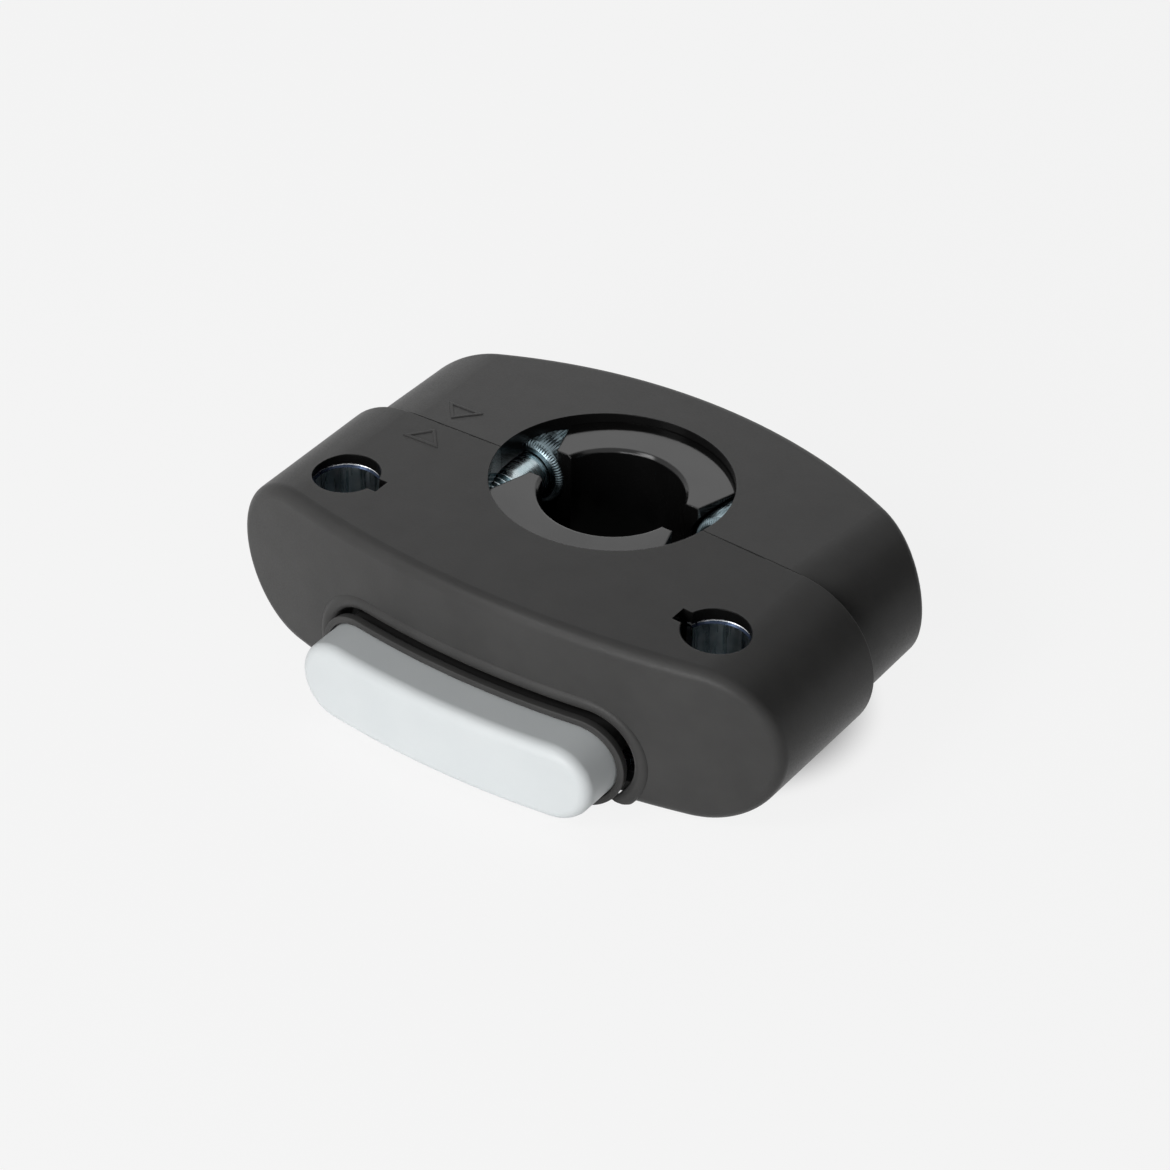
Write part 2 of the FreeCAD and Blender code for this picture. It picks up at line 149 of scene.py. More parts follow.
def within(nodes, links, vector, centre, reach):
    distance = nodes.new("ShaderNodeVectorMath")
    distance.operation = "DISTANCE"
    distance.inputs[1].default_value = centre
    links.new(vector, distance.inputs[0])
    return reckon(nodes, links, "LESS_THAN", distance.outputs["Value"], reach)


def blend(nodes, links, share, first, second):
    mix = nodes.new("ShaderNodeMix")
    mix.data_type = "RGBA"
    links.new(share, mix.inputs["Factor"])
    links.new(first, mix.inputs["A"])
    mix.inputs["B"].default_value = second
    return mix.outputs["Result"]


def dress(material, slot, *names):
    for name in names:
        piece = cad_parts[name]
        piece.data.materials.clear()
        piece.data.materials.append(material)


jaw_plastic, nodes, links, shader = new_material("textured_charcoal")
shader.inputs["Specular IOR Level"].default_value = charcoal_specular
cloud = noise_on_object(nodes, links, charcoal_patch_scale, 3)
tint = ramp_between(nodes, links, cloud, charcoal_dark, charcoal_light)
grain = noise_on_object(nodes, links, skin_grain_scale, 2)
gloss = ramp_between(nodes, links, grain, grey(skin_smooth), grey(skin_rough))
axes = object_axes(nodes, links)
off_middle = reckon(nodes, links, "ABSOLUTE", axes.outputs["X"], 0.0)
plan = nodes.new("ShaderNodeCombineXYZ")
links.new(off_middle, plan.inputs["X"])
links.new(axes.outputs["Y"], plan.inputs["Y"])
in_seat = within(nodes, links, plan.outputs["Vector"], (0, 0, 0), seat_radius)
in_socket = within(nodes, links, plan.outputs["Vector"], socket_place, socket_radius)
along_depth = reckon(nodes, links, "SUBTRACT", axes.outputs["Y"], socket_place[1])
off_row = reckon(nodes, links, "ABSOLUTE", along_depth, 0.0)
in_row = reckon(nodes, links, "LESS_THAN", off_row, keyway_half_width)
past_end = reckon(nodes, links, "GREATER_THAN", off_middle, keyway_end)
before_axis = reckon(nodes, links, "LESS_THAN", off_middle, socket_place[0])
in_keyway_length = reckon(nodes, links, "MULTIPLY", past_end, before_axis)
in_keyway = reckon(nodes, links, "MULTIPLY", in_row, in_keyway_length)
in_round_bore = reckon(nodes, links, "MAXIMUM", in_seat, in_socket)
in_bore = reckon(nodes, links, "MAXIMUM", in_round_bore, in_keyway)
# Painted shade: the seat, socket and keyway walls get a near-black colour because they lie in shadow.
links.new(blend(nodes, links, in_bore, tint, grey(painted_bore_shade)), shader.inputs["Base Color"])
links.new(blend(nodes, links, in_bore, gloss, grey(bore_roughness)), shader.inputs["Roughness"])
skin = bump_from(nodes, links, grain, skin_grain_depth, skin_grain_strength, shader)
soften_edges(nodes, links, skin, skin_edge_radius)
dress(jaw_plastic, "housing_plastic", "front_housing", "rear_jaw", "bottom_cover", "button_carrier")


# Facing marks: one raised arrowhead outline on each jaw, of the same nylon and cut into the mould. The two
# point at each other across the split and show how the jaws pair.
mark_x = -0.0315
mark_width = 0.0070
mark_reach = 0.0042
mark_height = 0.00015
mark_sink = 0.0004
mark_stroke = 0.00055
front_mark_y = -0.0080
rear_mark_y = 0.0018
rear_top_fall = 0.0592
crown_radius = 0.83


def facing_mark(name, y, reach, fall, body):
    bpy.ops.object.select_all(action="DESELECT")
    bpy.ops.mesh.primitive_circle_add(vertices=3, radius=1, fill_type="NGON")
    mark = bpy.context.object
    mark.name = name
    mark.scale = (mark_width / math.sqrt(3), reach / 1.5, 1)
    bpy.ops.object.transform_apply(location=False, rotation=False, scale=True)
    bpy.ops.object.mode_set(mode="EDIT")
    bpy.ops.mesh.select_all(action="SELECT")
    bpy.ops.mesh.inset(thickness=mark_stroke)
    bpy.ops.mesh.delete(type="FACE")
    bpy.ops.mesh.select_all(action="SELECT")
    bpy.ops.mesh.extrude_region_move(TRANSFORM_OT_translate={"value": (0, 0, mark_height + mark_sink)})
    bpy.ops.mesh.select_all(action="SELECT")
    bpy.ops.mesh.normals_make_consistent(inside=False)
    bpy.ops.object.mode_set(mode="OBJECT")
    edge = mark.modifiers.new("rounded_stroke", "BEVEL")
    edge.width = mark_height / 2
    edge.segments = 2
    bpy.ops.object.modifier_apply(modifier=edge.name)
    jaw_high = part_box("front_housing")[1]
    lean = -mark_x / crown_radius
    level = jaw_high.z - mark_x * mark_x / 2 / crown_radius - fall * max(y - jaw_high.y, 0)
    mark.location = (mark_x, y, level - mark_sink)
    mark.rotation_euler = (math.atan(-fall), -lean, 0)
    bpy.ops.object.transform_apply()
    mark.data.materials.append(jaw_plastic)
    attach(mark, body)


facing_mark("front_facing_mark", front_mark_y, mark_reach, 0.0, "front_jaw")
facing_mark("rear_facing_mark", rear_mark_y, -mark_reach, rear_top_fall, "rear_jaw")


# Opening lip: the raised, rounded rim that the front jaw's mould forms round the opening of the button. It
# is nylon in one with the jaw, runs along the top and both ends of the opening, and dies out below.
face_centre = 0.110
face_middle = -0.0390
face_steps = 14
button_end_x = 0.0211
button_end_z = -0.007675
button_end_radius = 0.006925
end_lean = math.radians(10)
end_steps = 40
lip_offset = 0.0029
lip_sink = 0.00045
lip_stand = 0.0010
lip_width = 0.00125
lip_turn = math.radians(152)
lip_end_rise = 0.0009


def along_opening(name, profile, middle_y, end_turn, floor_level, material, body):
    profile.name = name
    bpy.ops.object.mode_set(mode="EDIT")
    bpy.ops.mesh.select_all(action="SELECT")
    arc = math.asin(button_end_x / (face_centre - middle_y))
    bpy.ops.mesh.spin(steps=face_steps, angle=-arc, center=(0, face_centre, 0), axis=(0, 0, 1))
    end_y = face_centre - (face_centre - middle_y) * math.cos(arc)
    bpy.ops.mesh.spin(steps=end_steps, angle=end_turn, center=(button_end_x, end_y, button_end_z),
                      axis=(math.sin(end_lean), -math.cos(end_lean), 0))
    bpy.ops.mesh.edge_face_add()
    bpy.ops.mesh.select_all(action="SELECT")
    bpy.ops.mesh.bisect(plane_co=(0, 0, floor_level), plane_no=(0, 0, 1), use_fill=True, clear_inner=True)
    bpy.ops.object.mode_set(mode="OBJECT")
    other_half = profile.modifiers.new("other_half", "MIRROR")
    other_half.merge_threshold = 0.00001
    bpy.ops.object.modifier_apply(modifier=other_half.name)
    bpy.ops.object.mode_set(mode="EDIT")
    bpy.ops.mesh.select_all(action="SELECT")
    bpy.ops.mesh.remove_doubles(threshold=0.000005)
    bpy.ops.mesh.normals_make_consistent(inside=False)
    bpy.ops.object.mode_set(mode="OBJECT")
    bpy.ops.object.shade_smooth_by_angle(angle=math.radians(40))
    profile.data.materials.append(material)
    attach(profile, body)


bpy.ops.object.select_all(action="DESELECT")
bpy.ops.mesh.primitive_circle_add(vertices=24, radius=1, fill_type="NOTHING", rotation=(0, math.pi / 2, 0))
lip = bpy.context.object
bpy.ops.object.transform_apply()
lip.scale = (1, lip_stand, lip_width)
lip_y = face_middle + lip_sink
lip.location = (0, lip_y, button_end_z + button_end_radius + lip_offset)
bpy.ops.object.transform_apply()
along_opening("opening_lip", lip, lip_y, lip_turn, cad_low.z + lip_end_rise, jaw_plastic, "front_jaw")


# Flange band: the outer border of the carrier's flange, which frames the button and hides the opening
# behind it. It is nylon, moulded in one with the carrier, and has a small radius on its edges.
band_inner = 0.00035
band_outer = 0.00138
band_front = 0.00243
band_back = 0.0010
band_edge_share = 0.12
band_turn = math.radians(164)

bpy.ops.object.select_all(action="DESELECT")
bpy.ops.mesh.primitive_circle_add(vertices=4, radius=math.sqrt(0.5), fill_type="NOTHING",
                                  rotation=(0, math.pi / 2, 0))
band = bpy.context.object
bpy.ops.object.transform_apply()
bpy.ops.object.mode_set(mode="EDIT")
bpy.ops.mesh.select_all(action="SELECT")
bpy.ops.transform.rotate(value=math.pi / 4, orient_axis="X", center_override=(0, 0, 0))
bpy.ops.mesh.bevel(offset=band_edge_share, segments=3, affect="VERTICES")
bpy.ops.object.mode_set(mode="OBJECT")
band.scale = (1, band_front - band_back, band_outer - band_inner)
band_y = face_middle - (band_front + band_back) / 2
band.location = (0, band_y, button_end_z + button_end_radius + (band_outer + band_inner) / 2)
bpy.ops.object.transform_apply()
along_opening("flange_band", band, band_y, band_turn, cad_low.z, jaw_plastic, "release")


# Clamp bolts: M8 socket head bolts, zinc plated with a blue passivation that turns teal in patches. The
# shank is turned plain, the thread is rolled from the tip to just before the split, and the head has a
# fluted rim and a hexagon recess for the key.
zinc_dark = (0.40, 0.54, 0.58, 1)
zinc_light = (0.66, 0.74, 0.77, 1)
zinc_patch_scale = 260
zinc_smooth = 0.16
zinc_rough = 0.36
lathe_mark_scale = 900
lathe_mark_stretch = (0.12, 3, 0.12)
lathe_mark_depth = 0.000012
bolt_pitch = 0.00125
bolt_tip_chamfer = 0.0006
thread_root = 0.00325
thread_crest = 0.00398
thread_back = -0.0027
thread_runout = 0.0007
thread_lead_in = 0.0004
ridge_bite = 0.00012
ridge_base_share = 0.9
ridge_crest_share = 0.15
helix_steps = 36
shank_radius = 0.00395
head_length = 0.008
head_foot = 0.0001
head_foot_inset = 0.0005
head_rim_start = 0.0006
head_rim_end = 0.0007
head_top_inset = 0.0009
hexagon_width = 0.006
hexagon_depth = 0.0045
flute_depth = 0.035
bolt_sides = 72
bolt_smooth_angle = 30

steel, nodes, links, shader = new_material("blue_zinc")
shader.inputs["Metallic"].default_value = 1.0
cloud = noise_on_object(nodes, links, zinc_patch_scale, 4)
links.new(ramp_between(nodes, links, cloud, zinc_dark, zinc_light), shader.inputs["Base Color"])
lathe_marks = noise_on_object(nodes, links, lathe_mark_scale, 3, lathe_mark_stretch)
gloss = ramp_between(nodes, links, lathe_marks, grey(zinc_smooth), grey(zinc_rough))
links.new(gloss, shader.inputs["Roughness"])
bump_from(nodes, links, lathe_marks, lathe_mark_depth, 0.5, shader)


def turned(name, steps, sides):
    bpy.ops.object.select_all(action="DESELECT")
    y, radius = steps[0]
    bpy.ops.mesh.primitive_circle_add(vertices=sides, radius=radius, fill_type="NGON", location=(0, y, 0),
                                      rotation=(math.pi / 2, 0, 0))
    piece = bpy.context.object
    piece.name = name
    bpy.ops.object.transform_apply()
    bpy.ops.object.mode_set(mode="EDIT")
    bpy.ops.mesh.select_all(action="SELECT")
    for next_y, next_radius in steps[1:]:
        bpy.ops.mesh.extrude_region_move(TRANSFORM_OT_translate={"value": (0, next_y - y, 0)})
        growth = next_radius / radius
        bpy.ops.transform.resize(value=(growth, 1, growth), center_override=(0, next_y, 0))
        y, radius = next_y, next_radius
    bpy.ops.mesh.select_all(action="SELECT")
    bpy.ops.mesh.normals_make_consistent(inside=False)
    bpy.ops.object.mode_set(mode="OBJECT")
    return piece


def combine(piece, operation, tool):
    step = piece.modifiers.new("combine", "BOOLEAN")
    step.operation = operation
    step.solver = "EXACT"
    step.object = tool
    bpy.context.view_layer.objects.active = piece
    bpy.ops.object.modifier_apply(modifier=step.name)
    bpy.data.objects.remove(tool)


def pick_up(piece):
    bpy.ops.object.select_all(action="DESELECT")
    piece.select_set(True)
    bpy.context.view_layer.objects.active = piece


def bring_to(piece, place, turn=(0, 0, 0)):
    pick_up(piece)
    piece.location = place
    piece.rotation_euler = turn
    bpy.ops.object.transform_apply()


def copy_of(piece, name):
    twin = piece.copy()
    twin.data = piece.data.copy()
    twin.name = name
    bpy.context.scene.collection.objects.link(twin)
    return twin


def finish_hard(piece, material, body, angle):
    pick_up(piece)
    bpy.ops.object.shade_smooth_by_angle(angle=math.radians(angle))
    piece.data.materials.clear()
    piece.data.materials.append(material)
    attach(piece, body)


bolt_low, bolt_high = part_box("clamp_bolt_left")
bolt_axis = Vector(((bolt_low.x + bolt_high.x) / 2, 0, (bolt_low.z + bolt_high.z) / 2))
bolt_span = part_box("clamp_bolt_right")[0].x - bolt_low.x
head_radius = (bolt_high.x - bolt_low.x) / 2
head_seat = bolt_high.y - head_length
left_bolt = turned("threaded_bolt_left", [
    (bolt_low.y, thread_root - bolt_tip_chamfer),
    (bolt_low.y + bolt_tip_chamfer, thread_root),
    (thread_back, thread_root),
    (thread_back + thread_runout, shank_radius),
    (head_seat, shank_radius),
    (head_seat + head_foot, head_radius - head_foot_inset),
    (head_seat + head_rim_start, head_radius),
    (bolt_high.y - head_rim_end, head_radius),
    (bolt_high.y, head_radius - head_top_inset),
], bolt_sides)
for vertex in left_bolt.data.vertices:
    on_head_rim = math.hypot(vertex.co.x, vertex.co.z) > head_radius - 1e-6
    corner = round(math.atan2(vertex.co.z, vertex.co.x) / (2 * math.pi / bolt_sides))
    vertex.select = on_head_rim and corner % 2 == 0
bpy.ops.object.mode_set(mode="EDIT")
bpy.ops.transform.resize(value=(1 - flute_depth, 1, 1 - flute_depth), center_override=(0, head_seat, 0))
bpy.ops.object.mode_set(mode="OBJECT")

bpy.ops.object.select_all(action="DESELECT")
bpy.ops.mesh.primitive_plane_add(size=1)
ridge = bpy.context.object
ridge_y = bolt_low.y + thread_lead_in
bpy.ops.object.mode_set(mode="EDIT")
bpy.ops.transform.resize(value=(thread_crest - thread_root + ridge_bite, bolt_pitch * ridge_base_share, 1))
bpy.ops.transform.translate(value=((thread_crest + thread_root) / 2 - ridge_bite / 2, ridge_y, 0))
bpy.ops.object.mode_set(mode="OBJECT")
for vertex in ridge.data.vertices:
    vertex.select = vertex.co.x > thread_root
bpy.ops.object.mode_set(mode="EDIT")
bpy.ops.transform.resize(value=(1, ridge_crest_share, 1), center_override=(thread_crest, ridge_y, 0))
bpy.ops.object.mode_set(mode="OBJECT")
helix = ridge.modifiers.new("helix", "SCREW")
helix.axis = "Y"
helix.screw_offset = bolt_pitch
helix.iterations = int((thread_back - bolt_low.y) / bolt_pitch)
helix.steps = helix_steps
helix.render_steps = helix_steps
bpy.ops.object.modifier_apply(modifier=helix.name)
bpy.ops.object.mode_set(mode="EDIT")
bpy.ops.mesh.select_all(action="SELECT")
bpy.ops.mesh.fill_holes(sides=4)
bpy.ops.mesh.select_all(action="SELECT")
bpy.ops.mesh.normals_make_consistent(inside=False)
bpy.ops.object.mode_set(mode="OBJECT")
combine(left_bolt, "UNION", ridge)
bpy.ops.mesh.primitive_cylinder_add(vertices=6, radius=hexagon_width / math.sqrt(3), depth=2 * hexagon_depth,
                                    location=(0, bolt_high.y, 0), rotation=(math.pi / 2, 0, 0))
combine(left_bolt, "DIFFERENCE", bpy.context.object)
bring_to(left_bolt, bolt_axis)
right_bolt = copy_of(left_bolt, "threaded_bolt_right")
bring_to(right_bolt, (bolt_span, 0, 0))
for bolt, side in ((left_bolt, "left"), (right_bolt, "right")):
    finish_hard(bolt, steel, "bolt_" + side, bolt_smooth_angle)
    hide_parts("clamp_bolt_" + side)


# Bolt bushes: turned steel bushes moulded into the rear jaw round the bolts. The nose is plain with a
# chamfer, and the rest is knurled in diamonds, so that the nylon can hold it.
# Painted shade: the bushes' steel is a much darker copy of the bolts' zinc tones, for the shadow they sit in
# inside the rear jaw.
bush_shade_dark = (0.13, 0.18, 0.20, 1)
bush_shade_light = (0.25, 0.31, 0.34, 1)
bush_smooth = 0.20
bush_rough = 0.40
bush_bore = 0.0041
bush_drill_length = 0.04
bush_chamfer = 0.001
bush_nose = 0.0048
knurl_step = 0.0003
knurl_depth = 0.00014
knurl_point_share = 0.95
knurl_rings = 22
knurl_sides = 72
bush_smooth_angle = 20

painted_shade_bush_steel, nodes, links, shader = new_material("shaded_bush_steel")
shader.inputs["Metallic"].default_value = 1.0
cloud = noise_on_object(nodes, links, zinc_patch_scale, 4)
links.new(ramp_between(nodes, links, cloud, bush_shade_dark, bush_shade_light), shader.inputs["Base Color"])
lathe_marks = noise_on_object(nodes, links, lathe_mark_scale, 3, lathe_mark_stretch)
gloss = ramp_between(nodes, links, lathe_marks, grey(bush_smooth), grey(bush_rough))
links.new(gloss, shader.inputs["Roughness"])

bush_low, bush_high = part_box("bolt_sleeve_left")
bush_radius = (bush_high.x - bush_low.x) / 2
knurl_front = bush_low.y + bush_nose + knurl_step
steps = [
    (bush_low.y, bush_radius - bush_chamfer),
    (bush_low.y + bush_chamfer, bush_radius),
    (bush_low.y + bush_nose, bush_radius),
    (knurl_front, bush_radius - knurl_depth),
]
for ring in range(1, knurl_rings + 1):
    share = ring / knurl_rings
    steps.append((knurl_front + share * (bush_high.y - knurl_front), bush_radius - knurl_depth))
left_bush = turned("knurled_bush_left", steps, knurl_sides)
for face in left_bush.data.polygons:
    face.select = face.center.y > knurl_front and abs(face.normal.y) < 0.5
for vertex in left_bush.data.vertices:
    vertex.select = False
bpy.ops.object.mode_set(mode="EDIT")
bpy.ops.mesh.select_mode(type="FACE")
bpy.ops.mesh.poke(offset=knurl_depth * knurl_point_share)
bpy.ops.mesh.select_mode(type="VERT")
bpy.ops.object.mode_set(mode="OBJECT")
bpy.ops.object.select_all(action="DESELECT")
bpy.ops.mesh.primitive_cylinder_add(vertices=64, radius=bush_bore, depth=bush_drill_length,
                                    rotation=(math.pi / 2, 0, 0))
combine(left_bush, "DIFFERENCE", bpy.context.object)
bring_to(left_bush, bolt_axis)
right_bush = copy_of(left_bush, "knurled_bush_right")
bring_to(right_bush, (bolt_span, 0, 0))
for bush, side in ((left_bush, "left"), (right_bush, "right")):
    finish_hard(bush, painted_shade_bush_steel, "rear_jaw", bush_smooth_angle)
    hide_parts("bolt_sleeve_" + side)


# Reducing inserts: two C-shaped shells of unfilled black nylon that bring the seat down to a thinner stem.
# They come from a polished tool, so they shine, and are held between the jaws when the bolts are tightened.
insert_dark = 0.004
insert_light = 0.006
insert_patch_scale = 120
insert_smooth = 0.10
insert_rough = 0.16
insert_specular = 0.42
insert_ripple_scale = 300
insert_ripple_depth = 0.00001
insert_edge_radius = 0.0004

insert_plastic, nodes, links, shader = new_material("gloss_black")
shader.inputs["Specular IOR Level"].default_value = insert_specular
cloud = noise_on_object(nodes, links, insert_patch_scale, 3)
tint = ramp_between(nodes, links, cloud, grey(insert_dark), grey(insert_light))
links.new(tint, shader.inputs["Base Color"])
gloss = ramp_between(nodes, links, cloud, grey(insert_smooth), grey(insert_rough))
links.new(gloss, shader.inputs["Roughness"])
ripple = noise_on_object(nodes, links, insert_ripple_scale, 2)
skin = bump_from(nodes, links, ripple, insert_ripple_depth, 0.3, shader)
soften_edges(nodes, links, skin, insert_edge_radius)
dress(insert_plastic, "insert_plastic", "front_insert", "rear_insert")


# Socket liners: rolled steel tubes with a keyway, pressed into the front jaw from below. Drawing leaves
# fine upright lines in the bore. At the mouth the colour holds a painted highlight on the rim over a ring of
# painted dark blue reflection.
liner_dark = (0.24, 0.30, 0.34, 1)
liner_light = (0.66, 0.70, 0.71, 1)
liner_patch_scale = 200
painted_mouth_reflection = (0.030, 0.042, 0.070, 1)
painted_rim_highlight = (0.80, 0.82, 0.84, 1)
mouth_reflection_depth = 0.00072
rim_highlight_depth = 0.00036
drawn_line_scale = 1500
drawn_line_stretch = (1, 1, 0.05)
drawn_line_depth = 0.00003
liner_smooth = 0.18
liner_rough = 0.42
liner_edge_radius = 0.00008

liner_steel, nodes, links, shader = new_material("drawn_zinc")
shader.inputs["Metallic"].default_value = 1.0
cloud = noise_on_object(nodes, links, liner_patch_scale, 3)
tint = ramp_between(nodes, links, cloud, liner_dark, liner_light)
liner_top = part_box("socket_sleeve_left")[1].z
axes = object_axes(nodes, links)
# Painted highlight and painted reflection: the top of the liner is coloured bright at the rim and dark blue
# just below it.
in_mouth_reflection = reckon(nodes, links, "GREATER_THAN", axes.outputs["Z"], liner_top - mouth_reflection_depth)
on_rim_highlight = reckon(nodes, links, "GREATER_THAN", axes.outputs["Z"], liner_top - rim_highlight_depth)
mouth_reflection_tint = blend(nodes, links, in_mouth_reflection, tint, painted_mouth_reflection)
links.new(blend(nodes, links, on_rim_highlight, mouth_reflection_tint, painted_rim_highlight), shader.inputs["Base Color"])
drawn_lines = noise_on_object(nodes, links, drawn_line_scale, 3, drawn_line_stretch)
gloss = ramp_between(nodes, links, drawn_lines, grey(liner_smooth), grey(liner_rough))
links.new(gloss, shader.inputs["Roughness"])
skin = bump_from(nodes, links, drawn_lines, drawn_line_depth, 0.6, shader)
soften_edges(nodes, links, skin, liner_edge_radius)
dress(liner_steel, "plated_steel", "socket_sleeve_left", "socket_sleeve_right")


# Nuts, latch plate, its screws and its springs: pressed and drawn steel inside the front jaw, plated like
# the bolts. The nuts lie in square pockets, and the plate is screwed to the carrier, which the two springs
# push out.
dress(steel, "plated_steel", "clamp_nut_left", "clamp_nut_right", "latch_plate", "latch_screws")
dress(steel, "spring_steel", "latch_spring_left", "latch_spring_right")


# Button: a separate cap of light grey polymer, clipped on the carrier. Its tool is polished a little finer
# than that of the jaws, which leaves an even satin.
button_dark = (0.645, 0.677, 0.687, 1)
button_light = (0.672, 0.702, 0.710, 1)
button_patch_scale = 90
button_grain_scale = 3000
button_grain_depth = 0.00001
button_smooth = 0.40
button_rough = 0.50

button_plastic, nodes, links, shader = new_material("satin_light_grey")
cloud = noise_on_object(nodes, links, button_patch_scale, 3)
links.new(ramp_between(nodes, links, cloud, button_dark, button_light), shader.inputs["Base Color"])
grain = noise_on_object(nodes, links, button_grain_scale, 2)
gloss = ramp_between(nodes, links, grain, grey(button_smooth), grey(button_rough))
links.new(gloss, shader.inputs["Roughness"])
bump_from(nodes, links, grain, button_grain_depth, 0.5, shader)
dress(button_plastic, "button_plastic", "button_cap")


# Cover screws: four countersunk steel screws with a cross recess, plated like the bolts. They are driven up
# through the bottom cover into the front jaw.
screw_places = ((0.031, -0.0302), (-0.031, -0.0302), (0.033, -0.0082), (-0.033, -0.0082))
screw_head = 0.0023
screw_head_edge = 0.0001
screw_shank = 0.00125
screw_sink = 0.00105
screw_tip_length = 0.0008
screw_tip_share = 0.4
screw_sides = 40
recess_width = 0.0006
recess_length = 0.0028
recess_depth = 0.0009
screw_smooth_angle = 30

screw_low, screw_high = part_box("cover_screws")
screw_length = screw_high.z - screw_low.z
first_screw = turned("cross_recess_screws", [
    (0, screw_head - screw_head_edge),
    (screw_head_edge, screw_head),
    (screw_sink, screw_shank),
    (screw_length - screw_tip_length, screw_shank),
    (screw_length, screw_shank * screw_tip_share),
], screw_sides)
for slot_turn in (0, math.pi / 2):
    bpy.ops.object.select_all(action="DESELECT")
    bpy.ops.mesh.primitive_cube_add(size=1, rotation=(0, slot_turn, 0))
    bit = bpy.context.object
    bit.scale = (recess_length, 2 * recess_depth, recess_width)
    bpy.ops.object.transform_apply()
    combine(first_screw, "DIFFERENCE", bit)
bring_to(first_screw, (0, 0, 0), (math.pi / 2, 0, 0))
screws = [first_screw]
for number in range(1, len(screw_places)):
    screws.append(copy_of(first_screw, "cover_screw_" + str(number)))
for screw, (x, y) in zip(screws, screw_places):
    bring_to(screw, (x, y, screw_low.z))
bpy.ops.object.select_all(action="DESELECT")
for screw in screws:
    screw.select_set(True)
bpy.context.view_layer.objects.active = first_screw
bpy.ops.object.join()
finish_hard(first_screw, steel, "front_jaw", screw_smooth_angle)
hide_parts("cover_screws")


# Studio: a pale floor and dome, which show white to the lens and in reflections but light the object little.
# The light comes from a small key box at the front left, a large low box in front, a faint one overhead and
# a panel at the back left. A black flag at the right darkens what the right ends of the jaws reflect.
backdrop_level = 0.9
fill_level = 0.05
floor_radius = 6
floor_gap = 0.0001
floor_glow_level = 0.96
floor_glow_share = 0.9
footprint_half_width = 0.0527
footprint_half_depth = 0.0348
footprint_shift = 0.13
glow_start = 0.75
glow_full = 1.0
lamp_distance = 1.2
key_side = 0.4
box_side = 0.7
flag_distance = 1.0
flag_width = 2.2
flag_height = 0.9
flag_shade = 0.002


def seen_directly(nodes, links):
    path = nodes.new("ShaderNodeLightPath")
    either = reckon(nodes, links, "MAXIMUM", path.outputs["Is Camera Ray"], path.outputs["Is Glossy Ray"])
    return reckon(nodes, links, "MAXIMUM", either, path.outputs["Is Transmission Ray"])


world = bpy.data.worlds.new("white_tent")
bpy.context.scene.world = world
world.use_nodes = True
nodes = world.node_tree.nodes
links = world.node_tree.links
fill = nodes["Background"]
fill.inputs["Color"].default_value = grey(fill_level)
pale = nodes.new("ShaderNodeBackground")
pale.inputs["Color"].default_value = grey(backdrop_level)
mix = nodes.new("ShaderNodeMixShader")
links.new(seen_directly(nodes, links), mix.inputs["Fac"])
links.new(fill.outputs["Background"], mix.inputs[1])
links.new(pale.outputs["Background"], mix.inputs[2])
links.new(mix.outputs["Shader"], nodes["World Output"].inputs["Surface"])

bpy.ops.object.select_all(action="DESELECT")
bpy.ops.mesh.primitive_circle_add(vertices=96, radius=floor_radius, fill_type="NGON",
                                  location=(0, 0, cad_low.z - floor_gap))
floor = bpy.context.object
floor.name = "studio_floor"
floor_paint, nodes, links, shader = new_material("pale_floor")
nodes.remove(shader)
matt = nodes.new("ShaderNodeBsdfDiffuse")
matt.inputs["Color"].default_value = grey(backdrop_level)
glow = nodes.new("ShaderNodeEmission")
glow.inputs["Color"].default_value = grey(floor_glow_level)
place = nodes.new("ShaderNodeTexCoord")
footprint = nodes.new("ShaderNodeMapping")
footprint.inputs["Location"].default_value = (0, footprint_shift, 0)
footprint.inputs["Scale"].default_value = (1 / footprint_half_width, 1 / footprint_half_depth, 0)
links.new(place.outputs["Object"], footprint.inputs["Vector"])
from_middle = nodes.new("ShaderNodeVectorMath")
from_middle.operation = "LENGTH"
links.new(footprint.outputs["Vector"], from_middle.inputs[0])
beyond_footprint = nodes.new("ShaderNodeMapRange")
beyond_footprint.interpolation_type = "SMOOTHSTEP"
beyond_footprint.inputs["From Min"].default_value = glow_start
beyond_footprint.inputs["From Max"].default_value = glow_full
beyond_footprint.inputs["To Max"].default_value = floor_glow_share
links.new(from_middle.outputs["Value"], beyond_footprint.inputs["Value"])
glow_share = reckon(nodes, links, "MULTIPLY", seen_directly(nodes, links),
                    beyond_footprint.outputs["Result"])
mix = nodes.new("ShaderNodeMixShader")
links.new(glow_share, mix.inputs["Fac"])
links.new(matt.outputs["BSDF"], mix.inputs[1])
links.new(glow.outputs["Emission"], mix.inputs[2])
links.new(mix.outputs["Shader"], nodes["Material Output"].inputs["Surface"])
floor.data.materials.append(floor_paint)


def towards(azimuth, elevation):
    azimuth = math.radians(azimuth)
    elevation = math.radians(elevation)
    return Vector((math.sin(azimuth) * math.cos(elevation), -math.cos(azimuth) * math.cos(elevation),
                   math.sin(elevation)))


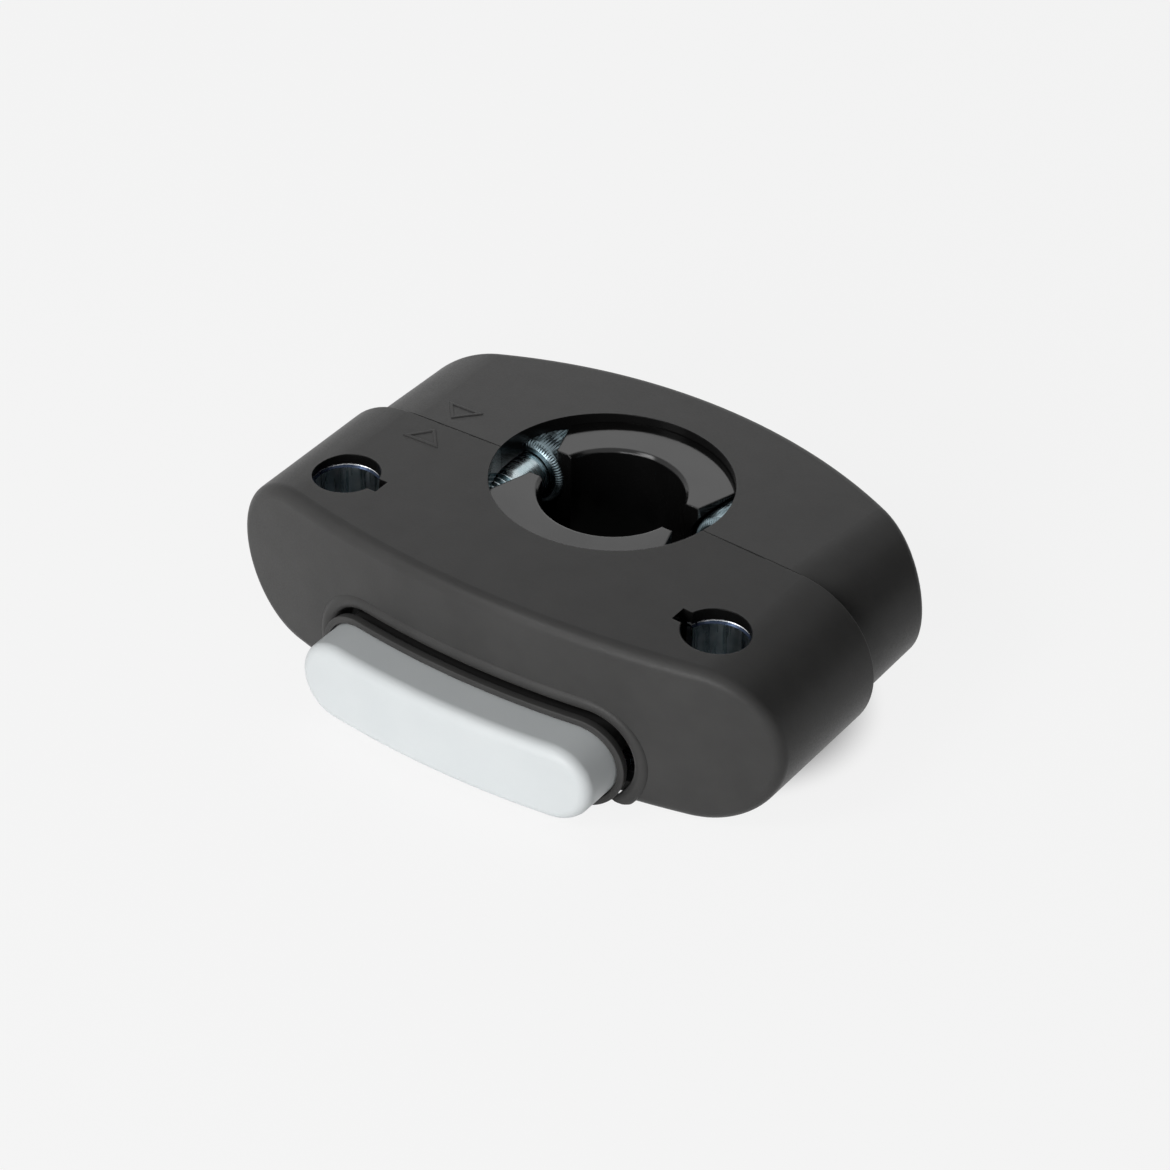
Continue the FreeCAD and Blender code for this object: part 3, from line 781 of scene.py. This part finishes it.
def softbox(name, direction, side, radiance):
    lamp = bpy.data.lights.new(name, "AREA")
    lamp.shape = "RECTANGLE"
    lamp.size = side
    lamp.size_y = side
    lamp.energy = radiance * math.pi * side * side
    holder = bpy.data.objects.new(name, lamp)
    bpy.context.scene.collection.objects.link(holder)
    holder.location = direction * lamp_distance
    holder.rotation_euler = direction.to_track_quat("Z", "Y").to_euler()


softbox("key_softbox", towards(-24, 41), key_side, 7.0)
softbox("front_softbox", towards(6, 12), box_side, 7.7)
softbox("top_softbox", towards(0, 88), box_side, 0.2)
softbox("back_left_panel", towards(-145, 22), box_side, 0.9)

flag_cloth, nodes, links, shader = new_material("black_cloth")
shader.inputs["Base Color"].default_value = grey(flag_shade)
shader.inputs["Specular IOR Level"].default_value = 0.0
flag_side = towards(106, 27.5)
bpy.ops.object.select_all(action="DESELECT")
bpy.ops.mesh.primitive_plane_add(size=1, location=flag_side * flag_distance,
                                 rotation=flag_side.to_track_quat("Z", "Y").to_euler())
flag = bpy.context.object
flag.name = "right_flag"
flag.scale = (flag_width, flag_height, 1)
flag.visible_camera = False
flag.visible_diffuse = False
flag.visible_shadow = False
flag.data.materials.append(flag_cloth)


# Camera: a long lens at the photograph's viewing angle, above and to the right of the button. Its turn about
# the line of sight and its slide and rise across it were fitted to the outlines of the jaws.
view_azimuth = 34.594
view_elevation = 36.424
view_roll = math.radians(0.921)
view_distance = 0.715752
view_slide = -0.004103
view_rise = -0.017406
focal_pixels = 4452.07
frame_pixels = 1170
sensor = 36.0

back = towards(view_azimuth, view_elevation)
right = towards(view_azimuth + 90, 0)
up = back.cross(right)
camera_right = right * math.cos(view_roll) + up * math.sin(view_roll)
camera_up = up * math.cos(view_roll) - right * math.sin(view_roll)
camera_data = bpy.data.cameras.new("camera")
camera_data.sensor_width = sensor
camera_data.lens = focal_pixels * sensor / frame_pixels
camera = bpy.data.objects.new("camera", camera_data)
bpy.context.scene.collection.objects.link(camera)
stand = back * view_distance + right * view_slide + up * view_rise + Vector((0, 0, cad_high.z))
turn = Matrix((camera_right, camera_up, back)).transposed().to_4x4()
camera.matrix_world = Matrix.Translation(stand) @ turn
bpy.context.scene.camera = camera
bpy.context.scene.view_settings.view_transform = "Standard"
